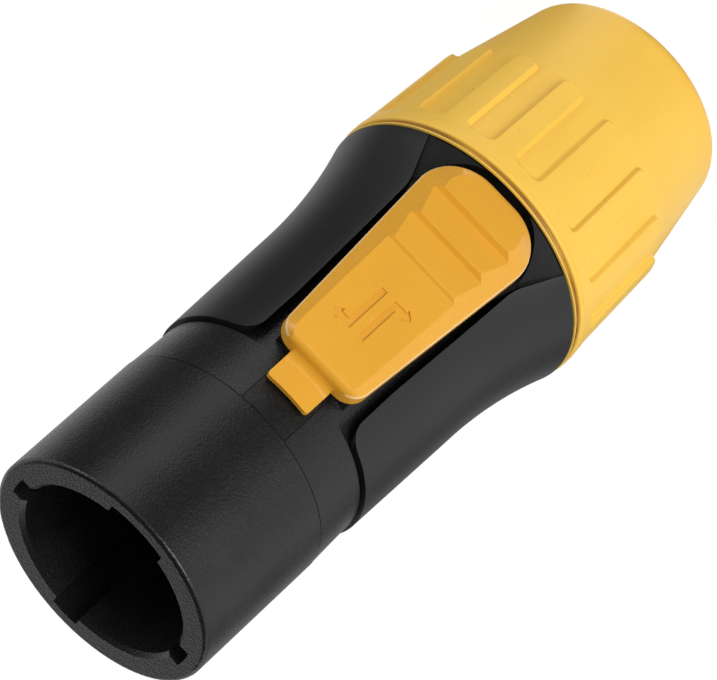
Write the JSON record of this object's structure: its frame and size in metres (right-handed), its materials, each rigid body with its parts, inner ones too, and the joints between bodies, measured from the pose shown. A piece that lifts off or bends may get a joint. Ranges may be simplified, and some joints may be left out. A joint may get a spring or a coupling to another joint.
{
  "type": "locking power plug",
  "caption": "Cable-mounted circular mains plug with keyed barrel socket, sprung slide latch and ribbed screw-on cable nut.",
  "frame": {"origin": "centre of the cable entry's mouth in the nut's rear face", "axes": "+Z along the plug's axis towards the mating face, -Y towards the latch"},
  "size_m": [0.0329, 0.0342, 0.0855],
  "materials": {
    "textured_black": "fine spark-eroded grain",
    "grip_black": "smooth matte",
    "latch_orange": "satin",
    "spring_steel": "drawn wire",
    "nut_yellow": "satin",
    "seal_rubber": "matte",
    "natural_plastic": "satin",
    "clamp_grey": "satin",
    "carrier_grey": "matte",
    "contact_brass": "plated",
    "screw_steel": "zinc plated"
  },
  "bodies": {
    "housing": {"body_shell": "textured_black", "grip_sleeve": "grip_black", "contact_carrier": "carrier_grey", "carrier_seal": "seal_rubber", "socket_seal": "seal_rubber", "wire_guide": "carrier_grey", "retaining_ring": "spring_steel", "line_contact": "contact_brass", "neutral_contact": "contact_brass", "earth_contact": "contact_brass", "terminal_screws": "screw_steel", "latch_spring": "spring_steel"},
    "slide_latch": {"latch": "latch_orange"},
    "clamp_set": {"cable_clamp": "clamp_grey", "cable_seal": "seal_rubber", "thrust_ring": "natural_plastic"},
    "nut": {"rear_nut": "nut_yellow", "nut_gasket": "seal_rubber"}
  },
  "joints": [
    {"name": "latch_slide", "type": "slide", "parent": "housing", "child": "slide_latch", "axis": [0, 0, -1], "range_m": [0, 0.0009], "stiffness_N_per_m": 900, "springref_m": -0.003, "deforming": ["latch_spring"]},
    {"name": "nut_advance", "type": "slide", "parent": "housing", "child": "clamp_set", "axis": [0, 0, -1], "range_m": [0, 0.003]},
    {"name": "nut_turn", "type": "hinge", "parent": "clamp_set", "child": "nut", "pos_m": [0, 0, 0.015], "axis": [0, 0, -1], "range_deg": [0, 720]}
  ],
  "couplings": [
    {"joint": "nut_advance", "follows": "nut_turn", "m_per_rad": 0.00023873}
  ]
}
